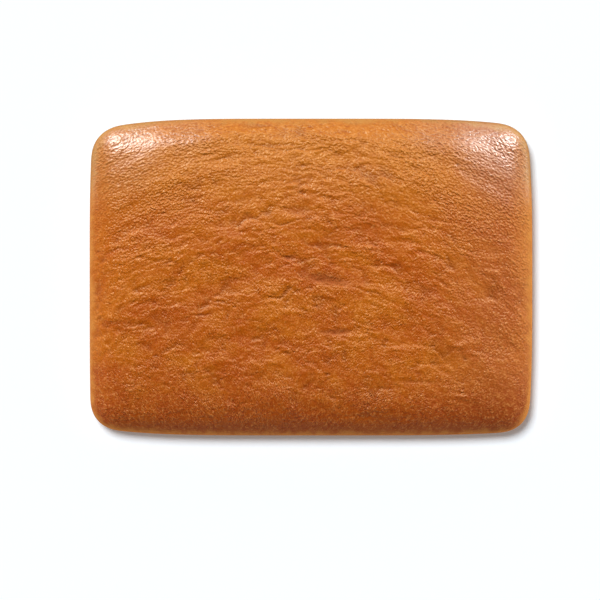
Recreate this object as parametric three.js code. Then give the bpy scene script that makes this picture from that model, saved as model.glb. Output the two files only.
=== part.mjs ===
import * as THREE from "three";
import { mergeGeometries, mergeVertices } from "three/addons/utils/BufferGeometryUtils.js";

// A plain lebkuchen: one flat rectangular slab of honey gingerbread with a wrinkled, glossy crust.
// Millimetres. +X runs along the length, +Y to the back edge and +Z up. The base lies on z = 0.

// Slab
const LENGTH = 140;
const WIDTH = 100.2;
const THICKNESS = 13; // at the middle, where the dough has risen most
const EDGE_THICKNESS = 8.6; // of the rounded edge, before the dome raises it
const DOME_POWER = { sides: 4, back: 3.5, front: 7 }; // a high power keeps the top level up to that side

// Outline, seen from above
const CORNER_RADIUS = 10;
const CORNER_FULLNESS = 0.08; // how far a corner swells out of its quarter circle, as a share of the radius
const BOW = { // fall of each side towards its two corners
  left: { back: 1, front: 0.4 },
  right: { back: 1.8, front: 1.5 },
  back: { left: 3.9, right: 2.7 },
  front: { left: 2.8, right: 1.6 },
};
const BOW_POWER = { shortSides: 3.6, longSides: 4.6 }; // a high power keeps the middle of a side straight

// Section through the rounded edge
const BELLY_HEIGHT = 3.8; // height of the widest line
const SHOULDER_FLATNESS = 0.62; // share of the reach over which the top stays nearly level
const SIDE_STEEPNESS = 0.66; // share of the side's height over which it stays nearly upright
const TUCK = 0.6; // how far the base rim lies inside the widest line

// Crust relief: long low swells along arches that share one centre in front of the slab
const ARCH_RADIUS = 95; // from that centre to the middle of the slab
const SWELL_COUNT = 220;
const SWELL_LENGTH = { least: 4, most: 10 };
const SWELL_BREADTH = { least: 1.7, most: 3.2 };
const SWELL_HEIGHT = 0.3;
const SWELL_SEED = 2417;
const RELIEF_FADE = { start: 0.2, end: 0.62 }; // share of the section over which the relief dies out

// Creases: short dents in the crust, each with its middle, its length and its turn in degrees
const CREASE_DEPTH = 0.3;
const CREASE_BREADTH = 1.3;
const CREASES = [
  { x: 4.5, y: 0.3, length: 10, turn: -10 },
  { x: 8, y: -17, length: 7.5, turn: 2 },
  { x: 30.8, y: -12.5, length: 5, turn: -10 },
  { x: 34.3, y: -33, length: 13, turn: -4 },
  { x: -6.5, y: 6.4, length: 3.2, turn: 25 },
];

// Crust sheet: square cells, draped over the slab from the middle of the top to the base rim
const CELL = 1.75;

const CRUST = { color: "#b8652b", roughness: 0.42, metalness: 0 };

const CORE_X = LENGTH / 2 - CORNER_RADIUS;
const CORE_Y = WIDTH / 2 - CORNER_RADIUS;
const EDGE = edgeSection();
const EDGE_LENGTH = EDGE.getLength();
const SHEET_X = CORE_X + EDGE_LENGTH;
const SHEET_Y = CORE_Y + EDGE_LENGTH;
const SWELLS = makeSwells();

// The edge's section, from the rim of the level top, over the shoulder and in under the belly.
function edgeSection() {
  const shoulder = CORNER_RADIUS * SHOULDER_FLATNESS;
  const steep = BELLY_HEIGHT + (EDGE_THICKNESS - BELLY_HEIGHT) * SIDE_STEEPNESS;
  const section = new THREE.Path();
  section.moveTo(0, EDGE_THICKNESS);
  section.bezierCurveTo(shoulder, EDGE_THICKNESS, CORNER_RADIUS, steep, CORNER_RADIUS, BELLY_HEIGHT);
  section.bezierCurveTo(
    CORNER_RADIUS, BELLY_HEIGHT / 2,
    CORNER_RADIUS - TUCK / 2, TUCK / 2,
    CORNER_RADIUS - TUCK, 0,
  );
  return section;
}

// Numbers from 0 to 1 in an order that the seed fixes.
function seededDraw(seed) {
  const factor = 16807;
  const modulus = 2147483647;
  let state = seed;
  return () => {
    state = (state * factor) % modulus;
    return state / modulus;
  };
}

// Low swells and hollows, strewn evenly over the top.
function makeSwells() {
  const draw = seededDraw(SWELL_SEED);
  const between = (range) => THREE.MathUtils.lerp(range.least, range.most, draw());
  const swells = [];
  for (let i = 0; i < SWELL_COUNT; i++) {
    const middle = archCoordinates((draw() - 0.5) * LENGTH, (draw() - 0.5) * WIDTH);
    const length = between(SWELL_LENGTH);
    const breadth = between(SWELL_BREADTH);
    const height = (2 * draw() - 1) * SWELL_HEIGHT;
    swells.push({ middle, length, breadth, height });
  }
  return swells;
}

// A place on the top, given as its way along an arch and its way across the arches.
function archCoordinates(x, y) {
  const along = ARCH_RADIUS * Math.atan2(x, y + ARCH_RADIUS);
  const across = Math.hypot(x, y + ARCH_RADIUS) - ARCH_RADIUS;
  return { along, across };
}

// A bump of height 1 that falls off evenly all round.
function bump(along, across) {
  return Math.exp(-(along * along + across * across) / 2);
}

function swellHeight(x, y) {
  const place = archCoordinates(x, y);
  let height = 0;
  for (const { middle, length, breadth, height: swell } of SWELLS) {
    const along = (place.along - middle.along) / length;
    const across = (place.across - middle.across) / breadth;
    height += swell * bump(along, across);
  }
  return height;
}

function creaseDepth(x, y) {
  let depth = 0;
  for (const crease of CREASES) {
    const turn = THREE.MathUtils.degToRad(crease.turn);
    const dx = x - crease.x;
    const dy = y - crease.y;
    const along = (dx * Math.cos(turn) + dy * Math.sin(turn)) / (crease.length / 2);
    const across = (dy * Math.cos(turn) - dx * Math.sin(turn)) / CREASE_BREADTH;
    depth += CREASE_DEPTH * bump(along, across);
  }
  return depth;
}

// How much the slab has risen here, as a factor on the section's heights.
function rise(x, y) {
  const fallX = Math.abs(2 * x / LENGTH) ** DOME_POWER.sides;
  const fallY = Math.abs(2 * y / WIDTH) ** (y > 0 ? DOME_POWER.back : DOME_POWER.front);
  return 1 + (THICKNESS / EDGE_THICKNESS - 1) * (1 - fallX) * (1 - fallY);
}

// Draws the sides back towards the corners, so that each side bows outwards.
function bowed(x, y) {
  const shortSide = x > 0 ? BOW.right : BOW.left;
  const longSide = y > 0 ? BOW.back : BOW.front;
  const fallX = (y > 0 ? shortSide.back : shortSide.front) * Math.abs(2 * y / WIDTH) ** BOW_POWER.shortSides;
  const fallY = (x > 0 ? longSide.right : longSide.left) * Math.abs(2 * x / LENGTH) ** BOW_POWER.longSides;
  return new THREE.Vector2(x * (1 - 2 * fallX / LENGTH), y * (1 - 2 * fallY / WIDTH));
}

// Takes a point of the flat sheet to its place on the crust.
function drape(p, q) {
  const coreX = THREE.MathUtils.clamp(p, -CORE_X, CORE_X);
  const coreY = THREE.MathUtils.clamp(q, -CORE_Y, CORE_Y);
  const u = (p - coreX) / EDGE_LENGTH;
  const v = (q - coreY) / EDGE_LENGTH;

  // The square at each corner of the sheet becomes a quarter of a disc, fuller along its diagonal.
  const outward = new THREE.Vector2(u * Math.sqrt(1 - v * v / 2), v * Math.sqrt(1 - u * u / 2));
  const share = Math.min(outward.length(), 1);
  const { x: reach, y: height } = EDGE.getPoint(share);
  outward.normalize();
  const fullness = 1 + CORNER_FULLNESS * (2 * outward.x * outward.y) ** 2;
  const flat = outward.multiplyScalar(reach * fullness).add(new THREE.Vector2(coreX, coreY));

  const relief = 1 - THREE.MathUtils.smoothstep(share, RELIEF_FADE.start, RELIEF_FADE.end);
  const level = height * rise(flat.x, flat.y);
  const z = level + relief * (swellHeight(flat.x, flat.y) - creaseDepth(flat.x, flat.y));
  const plan = bowed(flat.x, flat.y);
  return new THREE.Vector3(plan.x, plan.y, z);
}

// The crust: top and sides in one sheet.
function crustSheet() {
  const columns = Math.round(2 * SHEET_X / CELL);
  const rows = Math.round(2 * SHEET_Y / CELL);
  const sheet = new THREE.PlaneGeometry(2, 2, columns, rows);
  const places = sheet.getAttribute("position");
  for (let i = 0; i < places.count; i++) {
    const place = drape(SHEET_X * places.getX(i), SHEET_Y * places.getY(i));
    places.setXYZ(i, place.x, place.y, place.z);
  }
  turnDiagonal(sheet, 0);
  turnDiagonal(sheet, columns * rows - 1);
  return sheet;
}

// Splits a cell along its other diagonal. The first and the last cell are corners of the sheet, and
// there the usual diagonal would cut the corner off.
function turnDiagonal(sheet, cell) {
  const index = sheet.getIndex();
  const start = 6 * cell;
  const [a, b, d, , c] = index.array.slice(start, start + 6);
  index.array.set([a, b, c, a, c, d], start);
}

// The sheet's outer points in order, counter-clockwise seen from above.
function rimPoints(sheet) {
  const { widthSegments: columns, heightSegments: rows } = sheet.parameters;
  const order = [];
  for (let row = 0; row < rows; row++) order.push([0, row]);
  for (let column = 0; column < columns; column++) order.push([column, rows]);
  for (let row = rows; row > 0; row--) order.push([columns, row]);
  for (let column = columns; column > 0; column--) order.push([column, 0]);
  const places = sheet.getAttribute("position");
  return order.map(([column, row]) => {
    const i = row * (columns + 1) + column;
    return new THREE.Vector2(places.getX(i), places.getY(i));
  });
}

// The flat base, facing down: a disc with its edge drawn out to the rim.
function baseFace(rim) {
  const face = new THREE.CircleGeometry(1, rim.length);
  const places = face.getAttribute("position");
  for (let i = 0; i <= rim.length; i++) {
    const { x, y } = rim[i % rim.length];
    places.setXY(i + 1, x, y);
  }
  face.getIndex().array.reverse();
  return face;
}

function lebkuchenGeometry() {
  const sheet = crustSheet();
  const surfaces = [sheet, baseFace(rimPoints(sheet))];
  for (const surface of surfaces) {
    surface.deleteAttribute("normal");
    surface.deleteAttribute("uv");
  }
  const slab = mergeVertices(mergeGeometries(surfaces));
  slab.computeVertexNormals();
  return slab;
}

const lebkuchen = new THREE.Mesh(lebkuchenGeometry(), new THREE.MeshStandardMaterial(CRUST));
lebkuchen.name = "lebkuchen";

const part = new THREE.Group();
part.add(lebkuchen);

export default part;
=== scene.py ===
import math
from collections import namedtuple
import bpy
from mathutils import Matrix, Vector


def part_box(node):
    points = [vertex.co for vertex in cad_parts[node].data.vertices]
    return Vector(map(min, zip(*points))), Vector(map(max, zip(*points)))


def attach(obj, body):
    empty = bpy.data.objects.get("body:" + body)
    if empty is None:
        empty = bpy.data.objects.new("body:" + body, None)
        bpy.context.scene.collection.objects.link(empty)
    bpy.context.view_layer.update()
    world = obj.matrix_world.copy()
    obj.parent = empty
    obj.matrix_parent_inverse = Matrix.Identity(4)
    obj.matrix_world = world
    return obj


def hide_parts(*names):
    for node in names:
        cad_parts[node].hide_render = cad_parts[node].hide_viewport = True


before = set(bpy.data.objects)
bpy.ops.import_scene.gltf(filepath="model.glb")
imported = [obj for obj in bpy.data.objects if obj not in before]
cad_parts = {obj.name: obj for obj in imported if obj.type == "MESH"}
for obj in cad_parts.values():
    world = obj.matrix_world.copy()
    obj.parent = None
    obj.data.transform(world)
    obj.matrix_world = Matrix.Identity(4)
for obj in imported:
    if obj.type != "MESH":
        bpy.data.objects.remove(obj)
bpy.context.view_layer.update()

from types import SimpleNamespace

import bpy
import numpy as np

# A plain lebkuchen, seen from straight above on a white floor.
# Sizes are millimetres in the part's frame and angles are degrees. Blender's objects are made in metres.
# The crust is a flat sheet with places (p, q), draped over the top and down the sides to the base rim.

MM = 0.001
TINY = 1e-9  # keeps divisors above zero
LOW, HIGH = (np.array(corner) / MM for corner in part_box("lebkuchen"))

# A ramp takes a value's start and end to low and high, smoothly between and level outside.
# The note beside a ramp names what it reads. To the back and to the right are about -1 to 1 between rims.
Ramp = namedtuple("Ramp", "start end low high", defaults=(0, 1))

# A crease is a short dent, with its middle, its size, its turn and its share of the full depth.
Crease = namedtuple("Crease", "x y length breadth turn share")

# Slab and outline, the same as the solid's
LENGTH, WIDTH, _ = HIGH - LOW
THICKNESS = 13  # at the middle, where the dough has risen most
EDGE_THICKNESS = 8.6  # of the rounded edge, before the dome raises it
DOME_POWER = {"sides": 4, "back": 3.5, "front": 7}
CORNER_RADIUS = 10
CORNER_FULLNESS = 0.08
BOW_LEFT = {"back": 1, "front": 0.4}  # fall of each side towards its two corners
BOW_RIGHT = {"back": 1.8, "front": 1.5}
BOW_BACK = {"left": 3.9, "right": 2.7}
BOW_FRONT = {"left": 2.8, "right": 1.6}
BOW_POWER_X = 3.6
BOW_POWER_Y = 4.6

# Section through the rounded edge, the same as the solid's
BELLY_HEIGHT = 3.8
SHOULDER_FLATNESS = 0.62
SIDE_STEEPNESS = 0.66
TUCK = 0.6
SECTION_POINTS = 400

# Swells of the top, the same as the solid's
ARCH_RADIUS = 95
SWELL_COUNT = 220
SWELL_LENGTH = (4, 10)
SWELL_BREADTH = (1.7, 3.2)
SWELL_HEIGHT = 0.3
SWELL_SEED = 2417
SWELL_FADE = Ramp(0.2, 0.62, 1, 0)  # over the share of the edge's section

# Creases: sharper than the solid's, with a few that are too small for it
CREASE_DEPTH = 0.42
CREASES = (
    Crease(x=5, y=-0.8, length=11, breadth=1.1, turn=-10, share=1),
    Crease(x=8, y=-17.2, length=8.5, breadth=0.6, turn=2, share=0.9),
    Crease(x=30.8, y=-12.5, length=5, breadth=0.7, turn=-10, share=0.5),
    Crease(x=34.3, y=-33, length=13, breadth=0.45, turn=-4, share=0.5),
    Crease(x=-6.5, y=6.2, length=3.6, breadth=0.6, turn=15, share=0.7),
    Crease(x=18.8, y=8.4, length=8, breadth=0.4, turn=-8, share=0.5),
    Crease(x=23.8, y=-34.9, length=3.2, breadth=0.4, turn=0, share=0.5),
    Crease(x=46.6, y=35.8, length=0.5, breadth=0.35, turn=0, share=1),
)

# Wrinkles: tiles of random waves, each with its seed, its shortest and longest wave and its stretch
TILE_STEP = 0.25
TILE_COLUMNS = 1024
TILE_ROWS = 768
LONG_CUT = 0.5  # the waves set in from this share of the longest wave's pitch
SHORT_CUT = 1.6  # and have died out at this multiple of the shortest wave's pitch
WRINKLE_MIDDLE = -15  # where the arches of the wrinkles are highest
DRIFT_WAVES = {"seed": 11, "shortest": 9, "longest": 30, "stretch": 1.5}
SWAY_WAVES = {"seed": 12, "shortest": 5, "longest": 14, "stretch": 1.5}
STRENGTH_WAVES = {"seed": 13, "shortest": 8, "longest": 25, "stretch": 1.5}
LONG_WAVES = {"seed": 14, "shortest": 2, "longest": 14, "stretch": 1.8}
SHORT_WAVES = {"seed": 15, "shortest": 1.4, "longest": 2.8, "stretch": 1.2}
GROOVE_WAVES = {"seed": 16, "shortest": 2.5, "longest": 8, "stretch": 2.8}
GROOVE_PLACE_WAVES = {"seed": 17, "shortest": 6, "longest": 18, "stretch": 2}
DRIFT = 1.2  # how far the drift moves a wrinkle along the arches
SWAY = 0.8  # and how far the sway moves it across them
STRENGTH_MEAN = 0.8
STRENGTH_SPREAD = 0.2
LONG_HEIGHT = 0.155
CELL_HEIGHT = 0.05
VALLEY_ROUNDING = 0.25
GROOVE_DEPTH = 0.14
GROOVE_BREADTH = 0.22
GROOVE_LOSS = 0.75  # share of a groove that is lost where the skin is crinkled
WRINKLE_ALLOWANCE = 0.38  # draws the crust in, so that its crests stay inside the solid's box
TOP_ONLY = Ramp(0.46, 0.72, 1, 0)  # over the share of the edge's section
FRONT_WRINKLES = Ramp(-0.9, 0.1, 0.7, 1)  # to the back
FRONT_RIM_WRINKLES = Ramp(-0.96, -0.8, 0.3, 1)  # to the back
RIGHT_WRINKLES = Ramp(0.65, 0.8, 1, 0.6)  # to the right
RIGHT_GROOVES = Ramp(0.65, 0.8, 1, 0.2)  # to the right
GROOVE_PLACES = Ramp(-0.5, 1.2)  # over the waves that place the grooves
CRINKLED_CORNERS = ((-66, 46), (66, 46))  # the skin is crinkled every way round these
CRINKLE_FADE = Ramp(5, 55, 1, 0)  # over the way from the nearer of them

# Mesh cells: finer across the arches than along them, and four to one on the base
COLUMNS = 232
ROWS = 376
BASE_STEP = 4

# Colours, as a screen shows them
RED_BROWN = (145, 64, 4)
YELLOW_BROWN = (156, 81, 6)
# Golden brown for the back of the top: partly the crust's own tone, partly painted light where the light
# falls on the back.
GOLDEN_BROWN = (155, 90, 20)
# Ruddy brown for the front of the top: partly the crust's own browning, partly painted shade.
RUDDY_BROWN = (132, 56, 12)
# Deep brown: painted shade in the low wrinkles and creases, and a darker corner at the right front.
DEEP_BROWN = (96, 32, 1)
# Painted shade in the valleys of the skin.
VALLEY_SHADE_BROWN = (118, 33, 0)
# Painted light: a paler gold on the sides at the back corners.
LIT_CORNER_GOLD = (160, 114, 52)
# Painted highlight: a pale colour on the skin's crests.
CREST_HIGHLIGHT = (204, 138, 74)
SIDE_GOLD = (170, 108, 44)
# Painted shade: a darker gold on the back side, against the light that falls on it.
SHADED_BACK_GOLD = (147, 99, 42)
SIDE_TAN = (148, 82, 28)
# Painted sheen: a paler, greyer brown that stands for the gloss of the right end.
SHEEN_END = (142, 74, 34)
BASE_BROWN = (96, 50, 20)

# Noises of the crust: scale counts cells to a millimetre, and along multiplies it along the arches
FOLD_NOISE = {"along": 1.1, "scale": 0.55, "detail": 1, "roughness": 0.75, "distortion": 0.2}
PIT_NOISE = {"along": 1.2, "scale": 1.5, "detail": 0.3, "roughness": 0.5, "distortion": 0.3}
SKIN_PATCH_NOISE = {"along": 0.6, "scale": 0.12, "detail": 1, "roughness": 0.5}
BROAD_NOISE = {"along": 0.6, "scale": 0.07, "detail": 3, "roughness": 0.55, "distortion": 0.4}
MOTTLE_NOISE = {"along": 0.5, "scale": 0.3, "detail": 3, "roughness": 0.6}
BLOTCH_NOISE = {"along": 1, "scale": 0.22, "detail": 4, "roughness": 0.65}
GLOSS_NOISE = {"along": 0.6, "scale": 0.5, "detail": 3, "roughness": 0.6}

# Skin: relief that is finer than the mesh cells
SKIN_DEPTH = 0.56
GLAZE_SKIN_SHARE = 0.2  # the glaze fills most of the skin's relief
PIT_SHARE = Ramp(0, 0.6, 0.5, 0.68)  # over the crinkle
BACK_REACH = Ramp(0.8, 1, 0, 0.09)  # to the back, where the skin goes on nearer to the rim
FRONT_SKIN = Ramp(-0.9, 0.1, 0.85, 1)  # to the back
CRINKLED_SKIN = Ramp(0, 0.55, 1, 1.3)  # over the crinkle
BACK_SKIN = Ramp(0.5, 0.9, 1, 1.3)  # to the back
PATCHED_SKIN = Ramp(0.35, 0.65, 0.65, 1.2)  # over the patches
FRONT_RIM_SKIN = Ramp(-1, -0.88, 0.6, 1)  # to the back
LEFT_SKIN = Ramp(-0.97, -0.75, 0.72, 1)  # to the right
SIDE_SKIN = Ramp(0.46, 0.72, 1, 0.3)  # over the share of the edge's section
FRONT_BOOST = Ramp(-0.6, -0.85)  # to the back
LEFT_BOOST = Ramp(0.2, 0.7, 0.5, 0)  # to the right

# Shares of the colours on the top
MOTTLE_SHARE = 0.3  # of the finer mottle in the broad one
YELLOW_PATCHES = Ramp(0.36, 0.64)  # over the mottle
# Painted light: the top turns golden towards the back, partly its own browning.
GOLDEN_LIT_BACK = Ramp(0.1, 0.95, 0, 0.8)  # to the back
# Painted shade: the top turns ruddier and darker towards the front, partly its own browning.
SHADED_RUDDY_FRONT = Ramp(-0.5, -1, 0, 0.8)  # to the back
# Painted sheen towards the right end, with less of it at the front.
SHEEN_RIGHT = Ramp(0.4, 0.95, 0, 0.6)  # to the right
SHEEN_RIGHT_BACK = Ramp(-0.95, -0.6, 0.7, 1)  # to the back
BROWN_RIGHT = Ramp(0.55, 0.9, 0, 0.3)  # to the right
BROWN_RIGHT_FRONT = Ramp(-0.55, -0.9)  # to the back
# Painted light: a lit golden band along the right end of the top.
LIT_GOLD_RIGHT = Ramp(0.88, 1, 0, 0.6)  # to the right
LIT_GOLD_RIGHT_BACK = Ramp(-0.9, 0.6, 0.1, 1)  # to the back
# Painted shade: deeper brown in the low wrinkles, in the creases and in the skin's valleys, with more of it
# at the front and the back.
SHADED_WRINKLES = Ramp(0, -2.2, 0, 0.4)  # over the relief
SHADED_CREASES = Ramp(0.1, 1, 0, 0.45)  # over the dents
SHADED_VALLEYS = Ramp(0.5, 0.33, 0, 0.2)  # over the skin
VALLEY_SHADE_FRONT = Ramp(-0.9, -0.55, 2.6, 1)  # to the back
VALLEY_SHADE_BACK = Ramp(0.8, 0.98, 1, 2)  # to the back
# Painted highlights on the skin's crests, with more of them at the front.
HIGHLIT_CRESTS = Ramp(0.5, 0.68, 0, 0.25)  # over the skin
CREST_HIGHLIGHT_FRONT = Ramp(-0.9, -0.55, 1.2, 0.9)  # to the back

# Shares of the colours on the sides
# Painted shade on the back side.
SHADED_BACK_SIDE = Ramp(0.8, 1)  # to the back
# Painted light on the sides at the back corners.
LIT_CORNER_SIDE = Ramp(0.8, 1)  # over the crinkle
TAN_BLOTCHES = Ramp(0.4, 0.68, 0, 0.55)  # over the blotches
CORNER_RIM = Ramp(0.8, 1, 0, 0.07)  # over the crinkle, where the side begins higher up
UNEVEN_RIM = Ramp(0.3, 0.7, 0.05, -0.05)  # over the blotches
SIDE_BELOW = Ramp(0.5, 0.68, 0, 0.85)  # over the uneven share of the edge's section
SIDE_BACK = Ramp(-0.97, -0.85, 0.85, 1)  # to the back
BROWN_BASE = Ramp(0.88, 1, 0, 0.9)  # over the share of the edge's section

# Gloss
CRUST_IOR = 1.46
GLOSS_TINT = (1, 0.88, 0.56, 1)
TOP_ROUGHNESS = Ramp(0.3, 0.7, 0.38, 0.49)  # over the gloss noise
SIDE_ROUGHNESS = 0.9
CREASE_ROUGHNESS = 0.8
SIDE_ONLY = Ramp(0.46, 0.72)  # over the share of the edge's section
ROUGH_CREASES = Ramp(0.1, 1)  # over the dents

# Glaze on the back corners, with a thinner band of it along the back
GLAZE_IOR = 2.1
GLAZE_ROUGHNESS = 0.36
GLAZED_CORNERS = Ramp(0.6, 0.98)  # over the crinkle
GLAZED_RIGHT = Ramp(-1, 1, 0.5, 1)  # to the right
GLAZED_BAND = Ramp(0.2, 0.6)  # over the crinkle
GLAZED_BACK = Ramp(0.65, 0.9, 0, 0.3)  # to the back
GLAZED_CRESTS = Ramp(0.36, 0.5, 0.6, 1)  # over the skin

# Photograph's frame
PHOTO_PIXELS = 600
PHOTO_MM_PER_PIXEL = 0.3162
SLAB_PIXEL = (310.98, 277.07)  # of the slab's middle
CAMERA_HEIGHT = 1200
SENSOR = 36

# Floor
FLOOR_REACH = 2500
FLOOR_COLOUR = (0.85, 0.92, 0.98, 1)
FLOOR_ROUGHNESS = 0.9
FLOOR_GLOW = 0.16
WHITE = (1, 1, 1, 1)

# Room: white, bright at the horizon, and dimmer overhead, below the floor and in front of the slab
ROOM_UP = Ramp(0, 0.5, 1.3, 0.02)  # strength over the height of the direction
ROOM_BELOW = Ramp(-0.3, -0.1, 0.05, 1)  # over the height of the direction
ROOM_AHEAD = Ramp(-0.9, -0.4, 0.4, 1)  # over the direction's way to the back

# Lamps. Azimuths are counted from +X towards +Y. A lamp with glints shows in the gloss.
SOFTBOX_DISTANCE = 900
SOFTBOXES = {
    "softbox_back_left": {"azimuth": 121, "elevation": 40.5, "size": 240, "power": 9.3, "glints": True},
    "softbox_back_right": {"azimuth": 50, "elevation": 40.5, "size": 200, "power": 6.5, "glints": True},
    "softbox_left": {"azimuth": 180, "elevation": 10, "size": 300, "power": 4.5, "glints": False},
    "softbox_right": {"azimuth": 0, "elevation": 8, "size": 300, "power": 6.7, "glints": False},
    "softbox_front": {"azimuth": 264, "elevation": 4, "size": 200, "power": 4.8, "glints": False},
}
FLOOR_LAMP = {"azimuth": 125, "elevation": 59, "breadth": 28, "strength": 3.2}

# Sockets of Blender's Mix node, by number because several share a name
MIX_NUMBERS = (2, 3)
MIX_COLOURS = (6, 7)
MIX_COLOUR_OUTPUT = 2

CORE_X = LENGTH / 2 - CORNER_RADIUS
CORE_Y = WIDTH / 2 - CORNER_RADIUS


# Shape of the slab

def bezier(start, leave, arrive, end):
    """Points along a cubic curve."""
    t = np.linspace(0, 1, SECTION_POINTS)[:, None]
    start, leave, arrive, end = (np.array(point, float) for point in (start, leave, arrive, end))
    first = (1 - t) ** 3 * start + 3 * (1 - t) ** 2 * t * leave
    return first + 3 * (1 - t) * t ** 2 * arrive + t ** 3 * end


def edge_section():
    """The edge's section as (reach, height) points, and the length along it up to each point."""
    steep = BELLY_HEIGHT + (EDGE_THICKNESS - BELLY_HEIGHT) * SIDE_STEEPNESS
    shoulder = bezier(
        (0, EDGE_THICKNESS),
        (CORNER_RADIUS * SHOULDER_FLATNESS, EDGE_THICKNESS),
        (CORNER_RADIUS, steep),
        (CORNER_RADIUS, BELLY_HEIGHT),
    )
    tuck = bezier(
        (CORNER_RADIUS, BELLY_HEIGHT),
        (CORNER_RADIUS, BELLY_HEIGHT / 2),
        (CORNER_RADIUS - TUCK / 2, TUCK / 2),
        (CORNER_RADIUS - TUCK, 0),
    )
    line = np.vstack([shoulder, tuck[1:]])
    steps = np.linalg.norm(np.diff(line, axis=0), axis=1)
    return line, np.concatenate([[0], np.cumsum(steps)])


EDGE_LINE, EDGE_RUN = edge_section()
EDGE_LENGTH = EDGE_RUN[-1]
SHEET_X = CORE_X + EDGE_LENGTH
SHEET_Y = CORE_Y + EDGE_LENGTH


def smoothstep(values, start, end):
    """Rises smoothly from 0 at start to 1 at end."""
    t = np.clip((values - start) / (end - start), 0, 1)
    return t * t * (3 - 2 * t)


def ramped(values, ramp):
    """Takes values through a ramp."""
    return ramp.low + (ramp.high - ramp.low) * smoothstep(values, ramp.start, ramp.end)


def seeded_draw(seed):
    """Numbers from 0 to 1 in an order that the seed fixes."""
    factor = 16807
    modulus = 2147483647
    state = seed
    while True:
        state = state * factor % modulus
        yield state / modulus


def arch_coordinates(x, y):
    """Places on the crust as the way along an arch and the way across the arches."""
    along = ARCH_RADIUS * np.arctan2(x, y + ARCH_RADIUS)
    across = np.hypot(x, y + ARCH_RADIUS) - ARCH_RADIUS
    return along, across


def bump(along, across):
    """A bump of height 1 that falls off evenly all round."""
    return np.exp(-(along ** 2 + across ** 2) / 2)


def swell_height(x, y):
    """The low swells and hollows of the top."""
    draw = seeded_draw(SWELL_SEED)
    along, across = arch_coordinates(x, y)
    height = np.zeros_like(x)
    for _ in range(SWELL_COUNT):
        middle_x = (next(draw) - 0.5) * LENGTH
        middle_y = (next(draw) - 0.5) * WIDTH
        length = np.interp(next(draw), (0, 1), SWELL_LENGTH)
        breadth = np.interp(next(draw), (0, 1), SWELL_BREADTH)
        swell = (2 * next(draw) - 1) * SWELL_HEIGHT
        middle_along, middle_across = arch_coordinates(middle_x, middle_y)
        height += swell * bump((along - middle_along) / length, (across - middle_across) / breadth)
    return height


def crease_depth(x, y):
    """The short dents in the crust, as a share of their full depth."""
    depth = np.zeros_like(x)
    for crease in CREASES:
        cos = math.cos(math.radians(crease.turn))
        sin = math.sin(math.radians(crease.turn))
        dx = x - crease.x
        dy = y - crease.y
        along = (dx * cos + dy * sin) / (crease.length / 2)
        across = (dy * cos - dx * sin) / crease.breadth
        depth += crease.share * bump(along, across)
    return depth


def wave_tile(seed, shortest, longest, stretch):
    """A repeating tile of random waves with a spread of 1, drawn out along the arches."""
    white = np.random.default_rng(seed).standard_normal((TILE_ROWS, TILE_COLUMNS))
    along = np.fft.rfftfreq(TILE_COLUMNS, TILE_STEP) * stretch
    across = np.fft.fftfreq(TILE_ROWS, TILE_STEP)
    pitch = np.maximum(np.hypot(across[:, None], along[None, :]), TINY)
    long_end = smoothstep(pitch, LONG_CUT / longest, 1 / longest)
    short_end = 1 - smoothstep(pitch, 1 / shortest, SHORT_CUT / shortest)
    spectrum = np.fft.rfft2(white) * (long_end * short_end) / pitch
    tile = np.fft.irfft2(spectrum, s=white.shape)
    return tile / tile.std()


def read_tile(tile, along, across):
    """The tile's height at places given in millimetres, blended between its points."""
    column = along / TILE_STEP
    row = across / TILE_STEP
    left = np.floor(column).astype(int)
    low = np.floor(row).astype(int)
    right_share = column - left
    high_share = row - low
    rows = (low % TILE_ROWS, (low + 1) % TILE_ROWS)
    columns = (left % TILE_COLUMNS, (left + 1) % TILE_COLUMNS)
    near = tile[rows[0], columns[0]] * (1 - right_share) + tile[rows[0], columns[1]] * right_share
    far = tile[rows[1], columns[0]] * (1 - right_share) + tile[rows[1], columns[1]] * right_share
    return near * (1 - high_share) + far * high_share


def read_waves(waves, along, across):
    """The height of random waves at places given in millimetres."""
    return read_tile(wave_tile(**waves), along, across)


def crinkled(x, y):
    """How far the skin is crinkled every way, and not along the arches: 1 at the back corners."""
    ways = [np.hypot(x - corner_x, y - corner_y) for corner_x, corner_y in CRINKLED_CORNERS]
    return ramped(np.minimum(*ways), CRINKLE_FADE)


def to_rims(p, q):
    """How far sheet places lie to the right and to the back: 0 at the middle and about 1 at the rim."""
    return 2 * p / LENGTH, 2 * q / WIDTH


def wrinkle_strength(along, across, to_right, to_back):
    """How strong the wrinkles are: uneven all over, and calmer at the front and on the right."""
    uneven = np.tanh(read_waves(STRENGTH_WAVES, along, across))
    strength = STRENGTH_MEAN + STRENGTH_SPREAD * uneven
    strength = strength * ramped(to_back, FRONT_WRINKLES)
    strength = strength * ramped(to_back, FRONT_RIM_WRINKLES)
    return strength * ramped(to_right, RIGHT_WRINKLES)


def groove_depth(along, across, to_right, crinkle):
    """Narrow grooves in places, shallower on the right and where the skin is crinkled."""
    lines = read_waves(GROOVE_WAVES, along, across)
    grooves = np.exp(-(lines / GROOVE_BREADTH) ** 2)
    places = ramped(read_waves(GROOVE_PLACE_WAVES, along, across), GROOVE_PLACES)
    places = places * ramped(to_right, RIGHT_GROOVES)
    return GROOVE_DEPTH * grooves * places * (1 - GROOVE_LOSS * crinkle)


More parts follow.
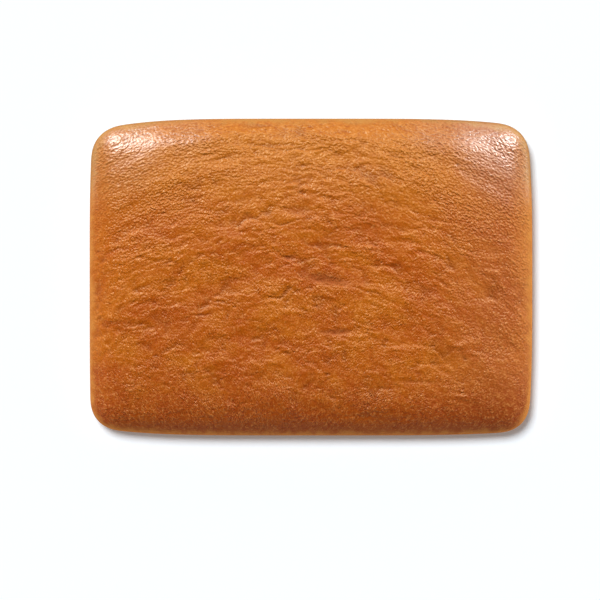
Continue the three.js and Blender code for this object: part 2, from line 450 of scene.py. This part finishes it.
def wrinkle_height(p, q, crinkle):
    """The wrinkles of the skin: low folds, or rounded cells where it is crinkled, less the grooves."""
    to_right, to_back = to_rims(p, q)
    along, across = arch_coordinates(p - WRINKLE_MIDDLE, q)
    drift = read_waves(DRIFT_WAVES, along, across)
    sway = read_waves(SWAY_WAVES, along, across)
    along = along + DRIFT * drift
    across = across + SWAY * sway
    folds = LONG_HEIGHT * read_waves(LONG_WAVES, along, across)
    cells = np.hypot(read_waves(SHORT_WAVES, along, across), VALLEY_ROUNDING)
    skin = folds * (1 - crinkle) + CELL_HEIGHT * (cells - cells.mean()) * crinkle
    strength = wrinkle_strength(along, across, to_right, to_back)
    return strength * skin - groove_depth(along, across, to_right, crinkle)


def spread(p, q):
    """Sheet places as a point of the level core, a way outwards and the share of the edge passed."""
    core = np.stack([np.clip(p, -CORE_X, CORE_X), np.clip(q, -CORE_Y, CORE_Y)], axis=-1)
    u = (p - core[..., 0]) / EDGE_LENGTH
    v = (q - core[..., 1]) / EDGE_LENGTH
    outward = np.stack([u * np.sqrt(1 - v * v / 2), v * np.sqrt(1 - u * u / 2)], axis=-1)
    share = np.linalg.norm(outward, axis=-1)
    outward /= np.maximum(share, TINY)[..., None]
    bulge = CORNER_FULLNESS * (2 * outward[..., 0] * outward[..., 1]) ** 2
    outward *= (1 + bulge)[..., None]
    return core, outward, np.minimum(share, 1)


def rise(x, y):
    """How much the slab has risen here, as a factor on the section's heights."""
    fall_x = np.abs(2 * x / LENGTH) ** DOME_POWER["sides"]
    fall_y = np.abs(2 * y / WIDTH) ** np.where(y > 0, DOME_POWER["back"], DOME_POWER["front"])
    return 1 + (THICKNESS / EDGE_THICKNESS - 1) * (1 - fall_x) * (1 - fall_y)


def bowed(x, y):
    """Draws the sides back towards the corners, so that each side bows outwards."""
    left = np.where(y > 0, BOW_LEFT["back"], BOW_LEFT["front"])
    right = np.where(y > 0, BOW_RIGHT["back"], BOW_RIGHT["front"])
    back = np.where(x > 0, BOW_BACK["right"], BOW_BACK["left"])
    front = np.where(x > 0, BOW_FRONT["right"], BOW_FRONT["left"])
    fall_x = np.where(x > 0, right, left) * np.abs(2 * y / WIDTH) ** BOW_POWER_X
    fall_y = np.where(y > 0, back, front) * np.abs(2 * x / LENGTH) ** BOW_POWER_Y
    return x * (1 - 2 * fall_x / LENGTH), y * (1 - 2 * fall_y / WIDTH)


def sheet_places(columns, rows):
    """The flat sheet's points, row by row."""
    p = np.linspace(-SHEET_X, SHEET_X, columns + 1)
    q = np.linspace(-SHEET_Y, SHEET_Y, rows + 1)
    return np.meshgrid(p, q)


def surface_normals(places):
    """Unit normals of a grid of points."""
    along_rows = np.gradient(places, axis=1)
    along_columns = np.gradient(places, axis=0)
    normals = np.cross(along_rows, along_columns)
    return normals / np.maximum(np.linalg.norm(normals, axis=-1), TINY)[..., None]


def drape(x, y, height, share):
    """Points of the crust before it wrinkles, with its swells and creases, and how deep they are dented."""
    dents = crease_depth(x, y)
    relief = ramped(share, SWELL_FADE) * (swell_height(x, y) - CREASE_DEPTH * dents)
    z = height * rise(x, y) + relief
    return np.stack([*bowed(x, y), z], axis=-1), dents


def crust_grid():
    """The crust's points, their places along the grain and the marks that the material reads."""
    p, q = sheet_places(COLUMNS, ROWS)
    core, outward, share = spread(p, q)
    reach = np.interp(share * EDGE_LENGTH, EDGE_RUN, EDGE_LINE[:, 0])
    height = np.interp(share * EDGE_LENGTH, EDGE_RUN, EDGE_LINE[:, 1])
    flat = core + outward * reach[..., None]
    x, y = flat[..., 0], flat[..., 1]
    places, dents = drape(x, y, height, share)
    crinkle = crinkled(x, y)
    wrinkles = wrinkle_height(p, q, crinkle)
    wrinkled = ramped(share, TOP_ONLY)
    push = wrinkled * (wrinkles - WRINKLE_ALLOWANCE)
    places = places + surface_normals(places) * push[..., None]
    along, across = arch_coordinates(p - WRINKLE_MIDDLE, q)
    grain = np.stack([along, across, np.zeros_like(along)], axis=-1)
    to_right, to_back = to_rims(p, q)
    marks = {
        "relief": wrinkles * wrinkled / LONG_HEIGHT,
        "edge": share,
        "crinkle": crinkle,
        "dent": dents,
        "to_back": to_back,
        "to_right": to_right,
    }
    return places, grain, marks


def base_grid():
    """The flat base's points, which meet every fourth point of the crust's rim."""
    p, q = sheet_places(COLUMNS // BASE_STEP, ROWS // BASE_STEP)
    core, outward, share = spread(p, q)
    flat = core + outward * (share * (CORNER_RADIUS - TUCK))[..., None]
    x, y = bowed(flat[..., 0], flat[..., 1])
    return np.stack([x, y, np.zeros_like(x)], axis=-1)


def crust_index():
    """The number of each crust point in the mesh, row by row."""
    return np.arange((ROWS + 1) * (COLUMNS + 1)).reshape(ROWS + 1, COLUMNS + 1)


def crust_faces():
    """The crust's cells, facing up."""
    index = crust_index()
    corners = (index[:-1, :-1], index[:-1, 1:], index[1:, 1:], index[1:, :-1])
    return np.stack(corners, axis=-1).reshape(-1, len(corners)).tolist()


def base_index():
    """The number of each base point in the mesh: a crust point on the rim, and a new one inside."""
    crust = crust_index()
    index = crust[::BASE_STEP, ::BASE_STEP].copy()
    rows, columns = index[1:-1, 1:-1].shape
    index[1:-1, 1:-1] = crust.size + np.arange(rows * columns).reshape(rows, columns)
    return index


def base_faces():
    """The base's cells, facing down. A cell at the rim takes in all the crust points on its outer side."""
    crust = crust_index()
    index = base_index()
    rows, columns = (size - 1 for size in index.shape)
    faces = []
    for row in range(rows):
        for column in range(columns):
            low, high = row * BASE_STEP, (row + 1) * BASE_STEP
            left, right = column * BASE_STEP, (column + 1) * BASE_STEP
            face = [index[row, column]]
            if column == 0:
                face += list(crust[low + 1:high, 0])
            face.append(index[row + 1, column])
            if row == rows - 1:
                face += list(crust[ROWS, left + 1:right])
            face.append(index[row + 1, column + 1])
            if column == columns - 1:
                face += list(crust[low + 1:high, COLUMNS][::-1])
            face.append(index[row, column + 1])
            if row == 0:
                face += list(crust[0, left + 1:right][::-1])
            faces.append([int(corner) for corner in face])
    return faces


# Mesh

def store(mesh, name, kind, field, values):
    """Keeps a value at each point of the mesh, for the material to read."""
    attribute = mesh.attributes.new(name, kind, "POINT")
    attribute.data.foreach_set(field, np.ascontiguousarray(values, np.float32).ravel())


def make_lebkuchen():
    """The slab as one closed mesh: a wrinkled crust over a flat base."""
    crust, grain, marks = crust_grid()
    base = base_grid()[1:-1, 1:-1].reshape(-1, 3)
    points = np.vstack([crust.reshape(-1, 3), base]) * MM
    upper = crust_faces()
    lower = base_faces()
    mesh = bpy.data.meshes.new("lebkuchen_crust")
    mesh.from_pydata(points.tolist(), [], upper + lower)
    smooth = np.arange(len(upper) + len(lower)) < len(upper)
    mesh.polygons.foreach_set("use_smooth", smooth)
    store(mesh, "grain", "FLOAT_VECTOR", "vector", np.vstack([grain.reshape(-1, 3), base]))
    for name, values in marks.items():
        base_value = 1 if name == "edge" else 0
        store(mesh, name, "FLOAT", "value", np.append(values, np.full(len(base), base_value)))
    mesh.update()
    piece = bpy.data.objects.new("lebkuchen_crust", mesh)
    bpy.context.scene.collection.objects.link(piece)
    return piece


# Materials

def linear(red, green, blue):
    """A screen colour from 0 to 255 as the linear colour that shaders take, by the sRGB formula."""
    share = np.array([red, green, blue]) / 255
    low = share / 12.92
    high = ((share + 0.055) / 1.055) ** 2.4
    return tuple(float(value) for value in np.where(share < 0.04045, low, high))


def add_node(tree, kind, inputs=None, **settings):
    """Adds a node. An input is given by name or number, as a value or as the socket that feeds it."""
    node = tree.nodes.new(kind)
    for name, value in settings.items():
        setattr(node, name, value)
    for name, value in (inputs or {}).items():
        if isinstance(value, bpy.types.NodeSocket):
            tree.links.new(value, node.inputs[name])
        else:
            node.inputs[name].default_value = value
    return node


def noise(tree, place, along, scale, detail, roughness, distortion=0.0):
    """Noise from 0 to 1, drawn out along the grain where along is under 1."""
    stretched = add_node(tree, "ShaderNodeVectorMath", {0: place, 1: (along, 1, 1)}, operation="MULTIPLY")
    inputs = {
        "Vector": stretched.outputs[0],
        "Scale": scale,
        "Detail": detail,
        "Roughness": roughness,
        "Distortion": distortion,
    }
    return add_node(tree, "ShaderNodeTexNoise", inputs).outputs[0]


def math_node(tree, operation, first, second):
    """Two numbers joined by an operation."""
    return add_node(tree, "ShaderNodeMath", {0: first, 1: second}, operation=operation).outputs[0]


def through(tree, value, ramp):
    """Takes a socket's value through a ramp."""
    inputs = {
        "Value": value,
        "From Min": ramp.start,
        "From Max": ramp.end,
        "To Min": ramp.low,
        "To Max": ramp.high,
    }
    return add_node(tree, "ShaderNodeMapRange", inputs, interpolation_type="SMOOTHSTEP").outputs[0]


def product(tree, *pairs):
    """The product of ramps, each given as the socket that it reads and the ramp."""
    total, *others = (through(tree, value, ramp) for value, ramp in pairs)
    for other in others:
        total = math_node(tree, "MULTIPLY", total, other)
    return total


def mix_values(tree, share, first, second):
    """Mixes two numbers."""
    inputs = {0: share, MIX_NUMBERS[0]: first, MIX_NUMBERS[1]: second}
    return add_node(tree, "ShaderNodeMix", inputs, data_type="FLOAT").outputs[0]


def mix(tree, share, first, second):
    """Mixes two colours, each a socket or a screen colour."""
    inputs = {0: share}
    for number, colour in zip(MIX_COLOURS, (first, second)):
        is_socket = isinstance(colour, bpy.types.NodeSocket)
        inputs[number] = colour if is_socket else (*linear(*colour), 1)
    return add_node(tree, "ShaderNodeMix", inputs, data_type="RGBA").outputs[MIX_COLOUR_OUTPUT]


def read_marks(tree):
    """The marks on the mesh, as sockets by name, and the edge as the skin takes it, later at the back."""
    marks = SimpleNamespace()
    for name in ("relief", "edge", "crinkle", "dent", "to_back", "to_right"):
        socket = add_node(tree, "ShaderNodeAttribute", attribute_name=name).outputs["Fac"]
        setattr(marks, name, socket)
    marks.grain = add_node(tree, "ShaderNodeAttribute", attribute_name="grain").outputs["Vector"]
    marks.skin_edge = math_node(tree, "SUBTRACT", marks.edge, through(tree, marks.to_back, BACK_REACH))
    return marks


def skin_pattern(tree, marks):
    """The finest relief of the skin, from 0 to 1: small folds, with more pits where it is crinkled."""
    folds = noise(tree, marks.grain, **FOLD_NOISE)
    pits = noise(tree, marks.grain, **PIT_NOISE)
    return mix_values(tree, through(tree, marks.crinkle, PIT_SHARE), folds, pits)


def skin_height(tree, marks, skin):
    """The skin's relief by place: stronger at the back and along the front, and calm on the sides."""
    patches = noise(tree, marks.grain, **SKIN_PATCH_NOISE)
    strength = product(
        tree,
        (marks.to_back, FRONT_SKIN),
        (marks.crinkle, CRINKLED_SKIN),
        (marks.to_back, BACK_SKIN),
        (patches, PATCHED_SKIN),
        (marks.to_back, FRONT_RIM_SKIN),
        (marks.to_right, LEFT_SKIN),
        (marks.skin_edge, SIDE_SKIN),
    )
    boost = product(tree, (marks.to_back, FRONT_BOOST), (marks.to_right, LEFT_BOOST))
    strength = math_node(tree, "MULTIPLY", strength, math_node(tree, "ADD", boost, 1))
    return math_node(tree, "MULTIPLY", skin, strength)


def top_colour(tree, marks):
    """Mottled honey brown; golden at the back and ruddy at the front, partly the crust's own browning and
    partly painted light and shade; a painted sheen and a painted lit golden band towards the right end.
    """
    broad = noise(tree, marks.grain, **BROAD_NOISE)
    fine = noise(tree, marks.grain, **MOTTLE_NOISE)
    mottle = mix_values(tree, MOTTLE_SHARE, broad, fine)
    # Painted sheen of the right end.
    sheen_end = product(tree, (marks.to_right, SHEEN_RIGHT), (marks.to_back, SHEEN_RIGHT_BACK))
    brown_corner = product(tree, (marks.to_right, BROWN_RIGHT), (marks.to_back, BROWN_RIGHT_FRONT))
    # Painted light: the lit golden band at the right end.
    lit_gold_end = product(tree, (marks.to_right, LIT_GOLD_RIGHT), (marks.to_back, LIT_GOLD_RIGHT_BACK))
    colour = mix(tree, through(tree, mottle, YELLOW_PATCHES), RED_BROWN, YELLOW_BROWN)
    # Golden towards the back: partly the crust's browning, partly painted light.
    colour = mix(tree, through(tree, marks.to_back, GOLDEN_LIT_BACK), colour, GOLDEN_BROWN)
    # Ruddy towards the front: partly the crust's browning, partly painted shade.
    colour = mix(tree, through(tree, marks.to_back, SHADED_RUDDY_FRONT), colour, RUDDY_BROWN)
    colour = mix(tree, sheen_end, colour, SHEEN_END)
    colour = mix(tree, brown_corner, colour, DEEP_BROWN)
    # The right end's band of painted light, in side gold.
    return mix(tree, lit_gold_end, colour, SIDE_GOLD)


def relief_colour(tree, marks, skin, colour):
    """The top's colour, with painted shade in wrinkles, valleys and creases and painted highlights on the
    crests.
    """
    # Painted shade in the skin's valleys.
    valley_shade = product(
        tree,
        (skin, SHADED_VALLEYS),
        (marks.skin_edge, TOP_ONLY),
        (marks.to_back, VALLEY_SHADE_FRONT),
        (marks.to_back, VALLEY_SHADE_BACK),
    )
    # Painted highlights on the skin's crests.
    crest_highlight = product(tree, (skin, HIGHLIT_CRESTS), (marks.skin_edge, TOP_ONLY), (marks.to_back, CREST_HIGHLIGHT_FRONT))
    # Painted shade in the low wrinkles and valleys, painted highlights on the crests and painted shade in
    # the creases.
    colour = mix(tree, through(tree, marks.relief, SHADED_WRINKLES), colour, DEEP_BROWN)
    colour = mix(tree, valley_shade, colour, VALLEY_SHADE_BROWN)
    colour = mix(tree, crest_highlight, colour, CREST_HIGHLIGHT)
    return mix(tree, through(tree, marks.dent, SHADED_CREASES), colour, DEEP_BROWN)


def crust_colour(tree, marks, skin):
    """The top's browns over blotched golden sides, with an uneven line between and a browned base; the back
    side darker as painted shade and the back corners' sides paler as painted light.
    """
    top = relief_colour(tree, marks, skin, top_colour(tree, marks))
    blotches = noise(tree, marks.grain, **BLOTCH_NOISE)
    # Painted shade on the back side.
    side = mix(tree, through(tree, marks.to_back, SHADED_BACK_SIDE), SIDE_GOLD, SHADED_BACK_GOLD)
    # Painted light on the sides at the back corners.
    side = mix(tree, through(tree, marks.crinkle, LIT_CORNER_SIDE), side, LIT_CORNER_GOLD)
    side = mix(tree, through(tree, blotches, TAN_BLOTCHES), side, SIDE_TAN)
    rim = math_node(tree, "ADD", marks.edge, through(tree, marks.crinkle, CORNER_RIM))
    rim = math_node(tree, "ADD", rim, through(tree, blotches, UNEVEN_RIM))
    side_share = product(tree, (rim, SIDE_BELOW), (marks.to_back, SIDE_BACK))
    colour = mix(tree, side_share, top, side)
    return mix(tree, through(tree, marks.edge, BROWN_BASE), colour, BASE_BROWN)


def crust_roughness(tree, marks):
    """An uneven gloss on the top, dull in the creases and on the sides."""
    gloss = noise(tree, marks.grain, **GLOSS_NOISE)
    roughness = through(tree, gloss, TOP_ROUGHNESS)
    roughness = mix_values(tree, through(tree, marks.edge, SIDE_ONLY), roughness, SIDE_ROUGHNESS)
    return mix_values(tree, through(tree, marks.dent, ROUGH_CREASES), roughness, CREASE_ROUGHNESS)


def glaze_weight(tree, marks, skin):
    """The glaze on the back corners and, thinner, in a band along the back."""
    corners = product(tree, (marks.crinkle, GLAZED_CORNERS), (marks.to_right, GLAZED_RIGHT))
    band = product(tree, (marks.crinkle, GLAZED_BAND), (marks.to_back, GLAZED_BACK))
    glaze = math_node(tree, "MAXIMUM", corners, band)
    return math_node(tree, "MULTIPLY", glaze, through(tree, skin, GLAZED_CRESTS))


def relief_normal(tree, height, depth):
    """The normal of a relief that is depth millimetres deep."""
    inputs = {"Strength": 1, "Distance": depth * MM, "Height": height}
    return add_node(tree, "ShaderNodeBump", inputs).outputs[0]


def crust_material():
    """Baked honey crust with a thin uneven gloss."""
    material = bpy.data.materials.new("lebkuchen_crust")
    material.use_nodes = True
    tree = material.node_tree
    shader = tree.nodes["Principled BSDF"]
    marks = read_marks(tree)
    skin = skin_pattern(tree, marks)
    height = skin_height(tree, marks, skin)
    linked = {
        "Base Color": crust_colour(tree, marks, skin),
        "Roughness": crust_roughness(tree, marks),
        "Normal": relief_normal(tree, height, SKIN_DEPTH),
        "Coat Normal": relief_normal(tree, height, GLAZE_SKIN_SHARE * SKIN_DEPTH),
        "Coat Weight": glaze_weight(tree, marks, skin),
    }
    for name, socket in linked.items():
        tree.links.new(socket, shader.inputs[name])
    shader.inputs["Coat Roughness"].default_value = GLAZE_ROUGHNESS
    shader.inputs["Coat IOR"].default_value = GLAZE_IOR
    shader.inputs["IOR"].default_value = CRUST_IOR
    shader.inputs["Specular Tint"].default_value = GLOSS_TINT
    return material


def floor_material():
    """Dull white with a faint glow."""
    material = bpy.data.materials.new("floor")
    material.use_nodes = True
    shader = material.node_tree.nodes["Principled BSDF"]
    shader.inputs["Base Color"].default_value = FLOOR_COLOUR
    shader.inputs["Roughness"].default_value = FLOOR_ROUGHNESS
    shader.inputs["Specular IOR Level"].default_value = 0
    shader.inputs["Emission Color"].default_value = WHITE
    shader.inputs["Emission Strength"].default_value = FLOOR_GLOW
    return material


# Floor, lamps and camera

def make_floor():
    """A plain white floor, which doesn't show in the slab's gloss."""
    half = FLOOR_REACH * MM
    corners = [(-half, -half, 0), (half, -half, 0), (half, half, 0), (-half, half, 0)]
    mesh = bpy.data.meshes.new("floor")
    mesh.from_pydata(corners, [], [(0, 1, 2, 3)])
    mesh.materials.append(floor_material())
    floor = bpy.data.objects.new("floor", mesh)
    floor.visible_glossy = False
    bpy.context.scene.collection.objects.link(floor)
    return floor


def light_only(lamp, piece):
    """Lets a lamp light one piece alone."""
    lit = bpy.data.collections.new("lit_by_" + lamp.name)
    lit.objects.link(piece)
    lamp.light_linking.receiver_collection = lit


def make_sun(name, azimuth, elevation, breadth, strength):
    """A distant lamp."""
    lamp = bpy.data.lights.new(name, "SUN")
    lamp.angle = math.radians(breadth)
    lamp.energy = strength
    sun = bpy.data.objects.new(name, lamp)
    sun.rotation_euler = (0, math.radians(90 - elevation), math.radians(azimuth))
    bpy.context.scene.collection.objects.link(sun)
    return sun


def make_softbox(name, azimuth, elevation, size, power, glints):
    """A square softbox that faces the slab."""
    lamp = bpy.data.lights.new(name, "AREA")
    lamp.shape = "SQUARE"
    lamp.size = size * MM
    lamp.energy = power
    box = bpy.data.objects.new(name, lamp)
    turn = math.radians(azimuth)
    tilt = math.radians(elevation)
    distance = SOFTBOX_DISTANCE * MM
    ground = distance * math.cos(tilt)
    box.location = (ground * math.cos(turn), ground * math.sin(turn), distance * math.sin(tilt))
    box.rotation_euler = (0, math.radians(90 - elevation), turn)
    box.visible_camera = False
    box.visible_glossy = glints
    bpy.context.scene.collection.objects.link(box)
    return box


def make_room():
    """A white room round the scene."""
    world = bpy.data.worlds.new("room")
    world.use_nodes = True
    tree = world.node_tree
    direction = add_node(tree, "ShaderNodeTexCoord").outputs["Generated"]
    parts = add_node(tree, "ShaderNodeSeparateXYZ", {0: direction}).outputs
    strength = product(tree, (parts["Z"], ROOM_UP), (parts["Z"], ROOM_BELOW), (parts["Y"], ROOM_AHEAD))
    background = tree.nodes["Background"]
    background.inputs["Color"].default_value = WHITE
    tree.links.new(strength, background.inputs["Strength"])
    bpy.context.scene.world = world


def make_light(slab, floor):
    """Softboxes round the slab and a high lamp for the floor alone, in a white room."""
    make_room()
    for name, settings in SOFTBOXES.items():
        light_only(make_softbox(name, **settings), slab)
    light_only(make_sun("floor_lamp", **FLOOR_LAMP), floor)


def make_camera():
    """Straight down with a long lens, framed as in the photograph."""
    data = bpy.data.cameras.new("camera")
    data.sensor_width = SENSOR
    middle = PHOTO_PIXELS / 2
    across = PHOTO_PIXELS * PHOTO_MM_PER_PIXEL
    data.lens = SENSOR * (CAMERA_HEIGHT - BELLY_HEIGHT) / across
    camera = bpy.data.objects.new("camera", data)
    x = (middle - SLAB_PIXEL[0]) * PHOTO_MM_PER_PIXEL
    y = (SLAB_PIXEL[1] - middle) * PHOTO_MM_PER_PIXEL
    camera.location = (x * MM, y * MM, CAMERA_HEIGHT * MM)
    bpy.context.scene.collection.objects.link(camera)
    bpy.context.scene.camera = camera


# Scene

make_camera()
floor = make_floor()
lebkuchen = make_lebkuchen()
make_light(lebkuchen, floor)
lebkuchen.data.materials.append(crust_material())
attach(lebkuchen, "root")
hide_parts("lebkuchen")

bpy.context.scene.view_settings.view_transform = "Standard"
